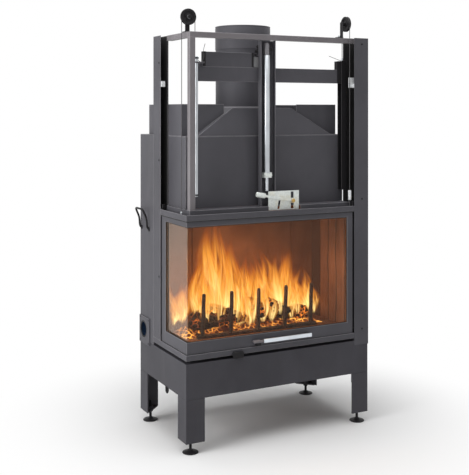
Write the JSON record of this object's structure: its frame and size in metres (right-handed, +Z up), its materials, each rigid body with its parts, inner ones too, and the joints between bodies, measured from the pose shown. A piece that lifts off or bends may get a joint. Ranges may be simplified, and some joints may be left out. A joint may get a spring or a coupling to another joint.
{
  "type": "fireplace insert",
  "caption": "Corner fireplace insert on legs with an L-shaped lifting glass door, cables, counterweight, smoke hood, flue collar and a lever-worked damper.",
  "frame": {"origin": "middle of the overall box in plan, on the floor", "axes": "+X to the right along the front, +Y to the back, +Z up"},
  "size_m": [0.9295, 0.524, 1.814],
  "materials": {
    "charcoal_steel": "satin heat-resistant charcoal paint",
    "frame_steel": "satin grey paint",
    "black_steel": "black paint",
    "bright_steel": "satin bright steel",
    "zinc_plate": "bright zinc plate",
    "cast_iron": "heat-darkened cast iron",
    "refractory": "fired refractory, warm brown",
    "ceramic_glass": "clear heat-resistant glass"
  },
  "bodies": {
    "root": {"air_inlet": "charcoal_steel", "ash_pan": "black_steel", "base_frame": "charcoal_steel", "body_front_panel": "charcoal_steel", "body_left_panel": "charcoal_steel", "body_rear_panel": "charcoal_steel", "body_right_panel": "charcoal_steel", "body_top_plate": "charcoal_steel", "cable_left": "black_steel", "cable_right": "black_steel", "centre_post": "charcoal_steel", "control_plate": "zinc_plate", "corner_post": "frame_steel", "door_stop_left": "bright_steel", "door_stop_right": "bright_steel", "flue_tube": "charcoal_steel", "grate": "cast_iron", "guide_channel": "black_steel", "guide_rod": "bright_steel", "hearth_floor": "refractory", "left_casing": "charcoal_steel", "left_post": "charcoal_steel", "leg_front_left": "charcoal_steel", "leg_front_right": "charcoal_steel", "leg_rear_left": "charcoal_steel", "leg_rear_right": "charcoal_steel", "lining_rear": "refractory", "lining_right": "refractory", "lintel_frame": "charcoal_steel", "lintel_lip": "charcoal_steel", "log_guard": "cast_iron", "pulley_bracket_left": "black_steel", "pulley_bracket_right": "black_steel", "right_post": "charcoal_steel", "side_handle": "black_steel", "sill": "charcoal_steel", "smoke_baffle": "refractory", "smoke_hood": "charcoal_steel", "top_rail_front": "frame_steel", "top_rail_left": "frame_steel", "upper_casing_left": "charcoal_steel", "upper_casing_right": "charcoal_steel"},
    "door": {"door_frame": "charcoal_steel", "door_glass_front": "ceramic_glass", "door_glass_side": "ceramic_glass", "door_handle": "bright_steel", "door_runner_left": "black_steel", "door_runner_right": "black_steel"},
    "counterweight": {"counterweight_bar": "charcoal_steel", "counterweight_box": "charcoal_steel"},
    "pulley_left_wheel": {"pulley_left": "black_steel"},
    "pulley_right_wheel": {"pulley_right": "black_steel"},
    "damper_lever_arm": {"damper_lever": "zinc_plate"},
    "damper_push_rod": {"damper_rod": "bright_steel"},
    "damper_blade": {"damper_flap": "cast_iron"},
    "air_control": {"air_slider": "black_steel"},
    "levelling_foot_front_left": {"foot_front_left": "black_steel"},
    "levelling_foot_front_right": {"foot_front_right": "black_steel"},
    "levelling_foot_rear_left": {"foot_rear_left": "black_steel"},
    "levelling_foot_rear_right": {"foot_rear_right": "black_steel"}
  },
  "joints": [
    {"name": "door_slide", "type": "slide", "parent": "root", "child": "door", "axis": [0, 0, 1], "range_m": [0, 0.505], "deforming": ["cable_left", "cable_right"]},
    {"name": "counterweight_slide", "type": "slide", "parent": "root", "child": "counterweight", "axis": [0, 0, -1], "range_m": [0, 0.505]},
    {"name": "pulley_left_spin", "type": "hinge", "parent": "root", "child": "pulley_left_wheel", "pos_m": [-0.3865, -0.1694, 1.78], "axis": [0, 1, 0], "range_deg": [0, 964.3]},
    {"name": "pulley_right_spin", "type": "hinge", "parent": "root", "child": "pulley_right_wheel", "pos_m": [0.373, -0.1995, 1.78], "axis": [-1, 0, 0], "range_deg": [0, 964.3]},
    {"name": "damper_lever_hinge", "type": "hinge", "parent": "root", "child": "damper_lever_arm", "pos_m": [0.092, -0.208, 1.005], "axis": [0, 1, 0], "range_deg": [-12.5, 0]},
    {"name": "damper_rod_slide", "type": "slide", "parent": "root", "child": "damper_push_rod", "axis": [0, 0, 1], "range_m": [-0.028, 0]},
    {"name": "damper_flap_hinge", "type": "hinge", "parent": "root", "child": "damper_blade", "pos_m": [-0.011, 0.063, 1.655], "axis": [0, 1, 0], "range_deg": [-78, 0]},
    {"name": "air_slider_slide", "type": "slide", "parent": "root", "child": "air_control", "axis": [1, 0, 0], "range_m": [-0.06, 0.06]},
    {"name": "foot_front_left_screw", "type": "slide", "parent": "root", "child": "levelling_foot_front_left", "axis": [0, 0, 1], "range_m": [-0.015, 0.015]},
    {"name": "foot_front_right_screw", "type": "slide", "parent": "root", "child": "levelling_foot_front_right", "axis": [0, 0, 1], "range_m": [-0.015, 0.015]},
    {"name": "foot_rear_left_screw", "type": "slide", "parent": "root", "child": "levelling_foot_rear_left", "axis": [0, 0, 1], "range_m": [-0.015, 0.015]},
    {"name": "foot_rear_right_screw", "type": "slide", "parent": "root", "child": "levelling_foot_rear_right", "axis": [0, 0, 1], "range_m": [-0.015, 0.015]}
  ],
  "couplings": [
    {"joint": "counterweight_slide", "follows": "door_slide", "ratio": 1},
    {"joint": "pulley_left_spin", "follows": "door_slide", "rad_per_m": 33.223},
    {"joint": "pulley_right_spin", "follows": "door_slide", "rad_per_m": 33.223},
    {"joint": "damper_rod_slide", "follows": "damper_lever_hinge", "m_per_rad": 0.1243},
    {"joint": "damper_flap_hinge", "follows": "damper_lever_hinge", "ratio": 6.16}
  ]
}
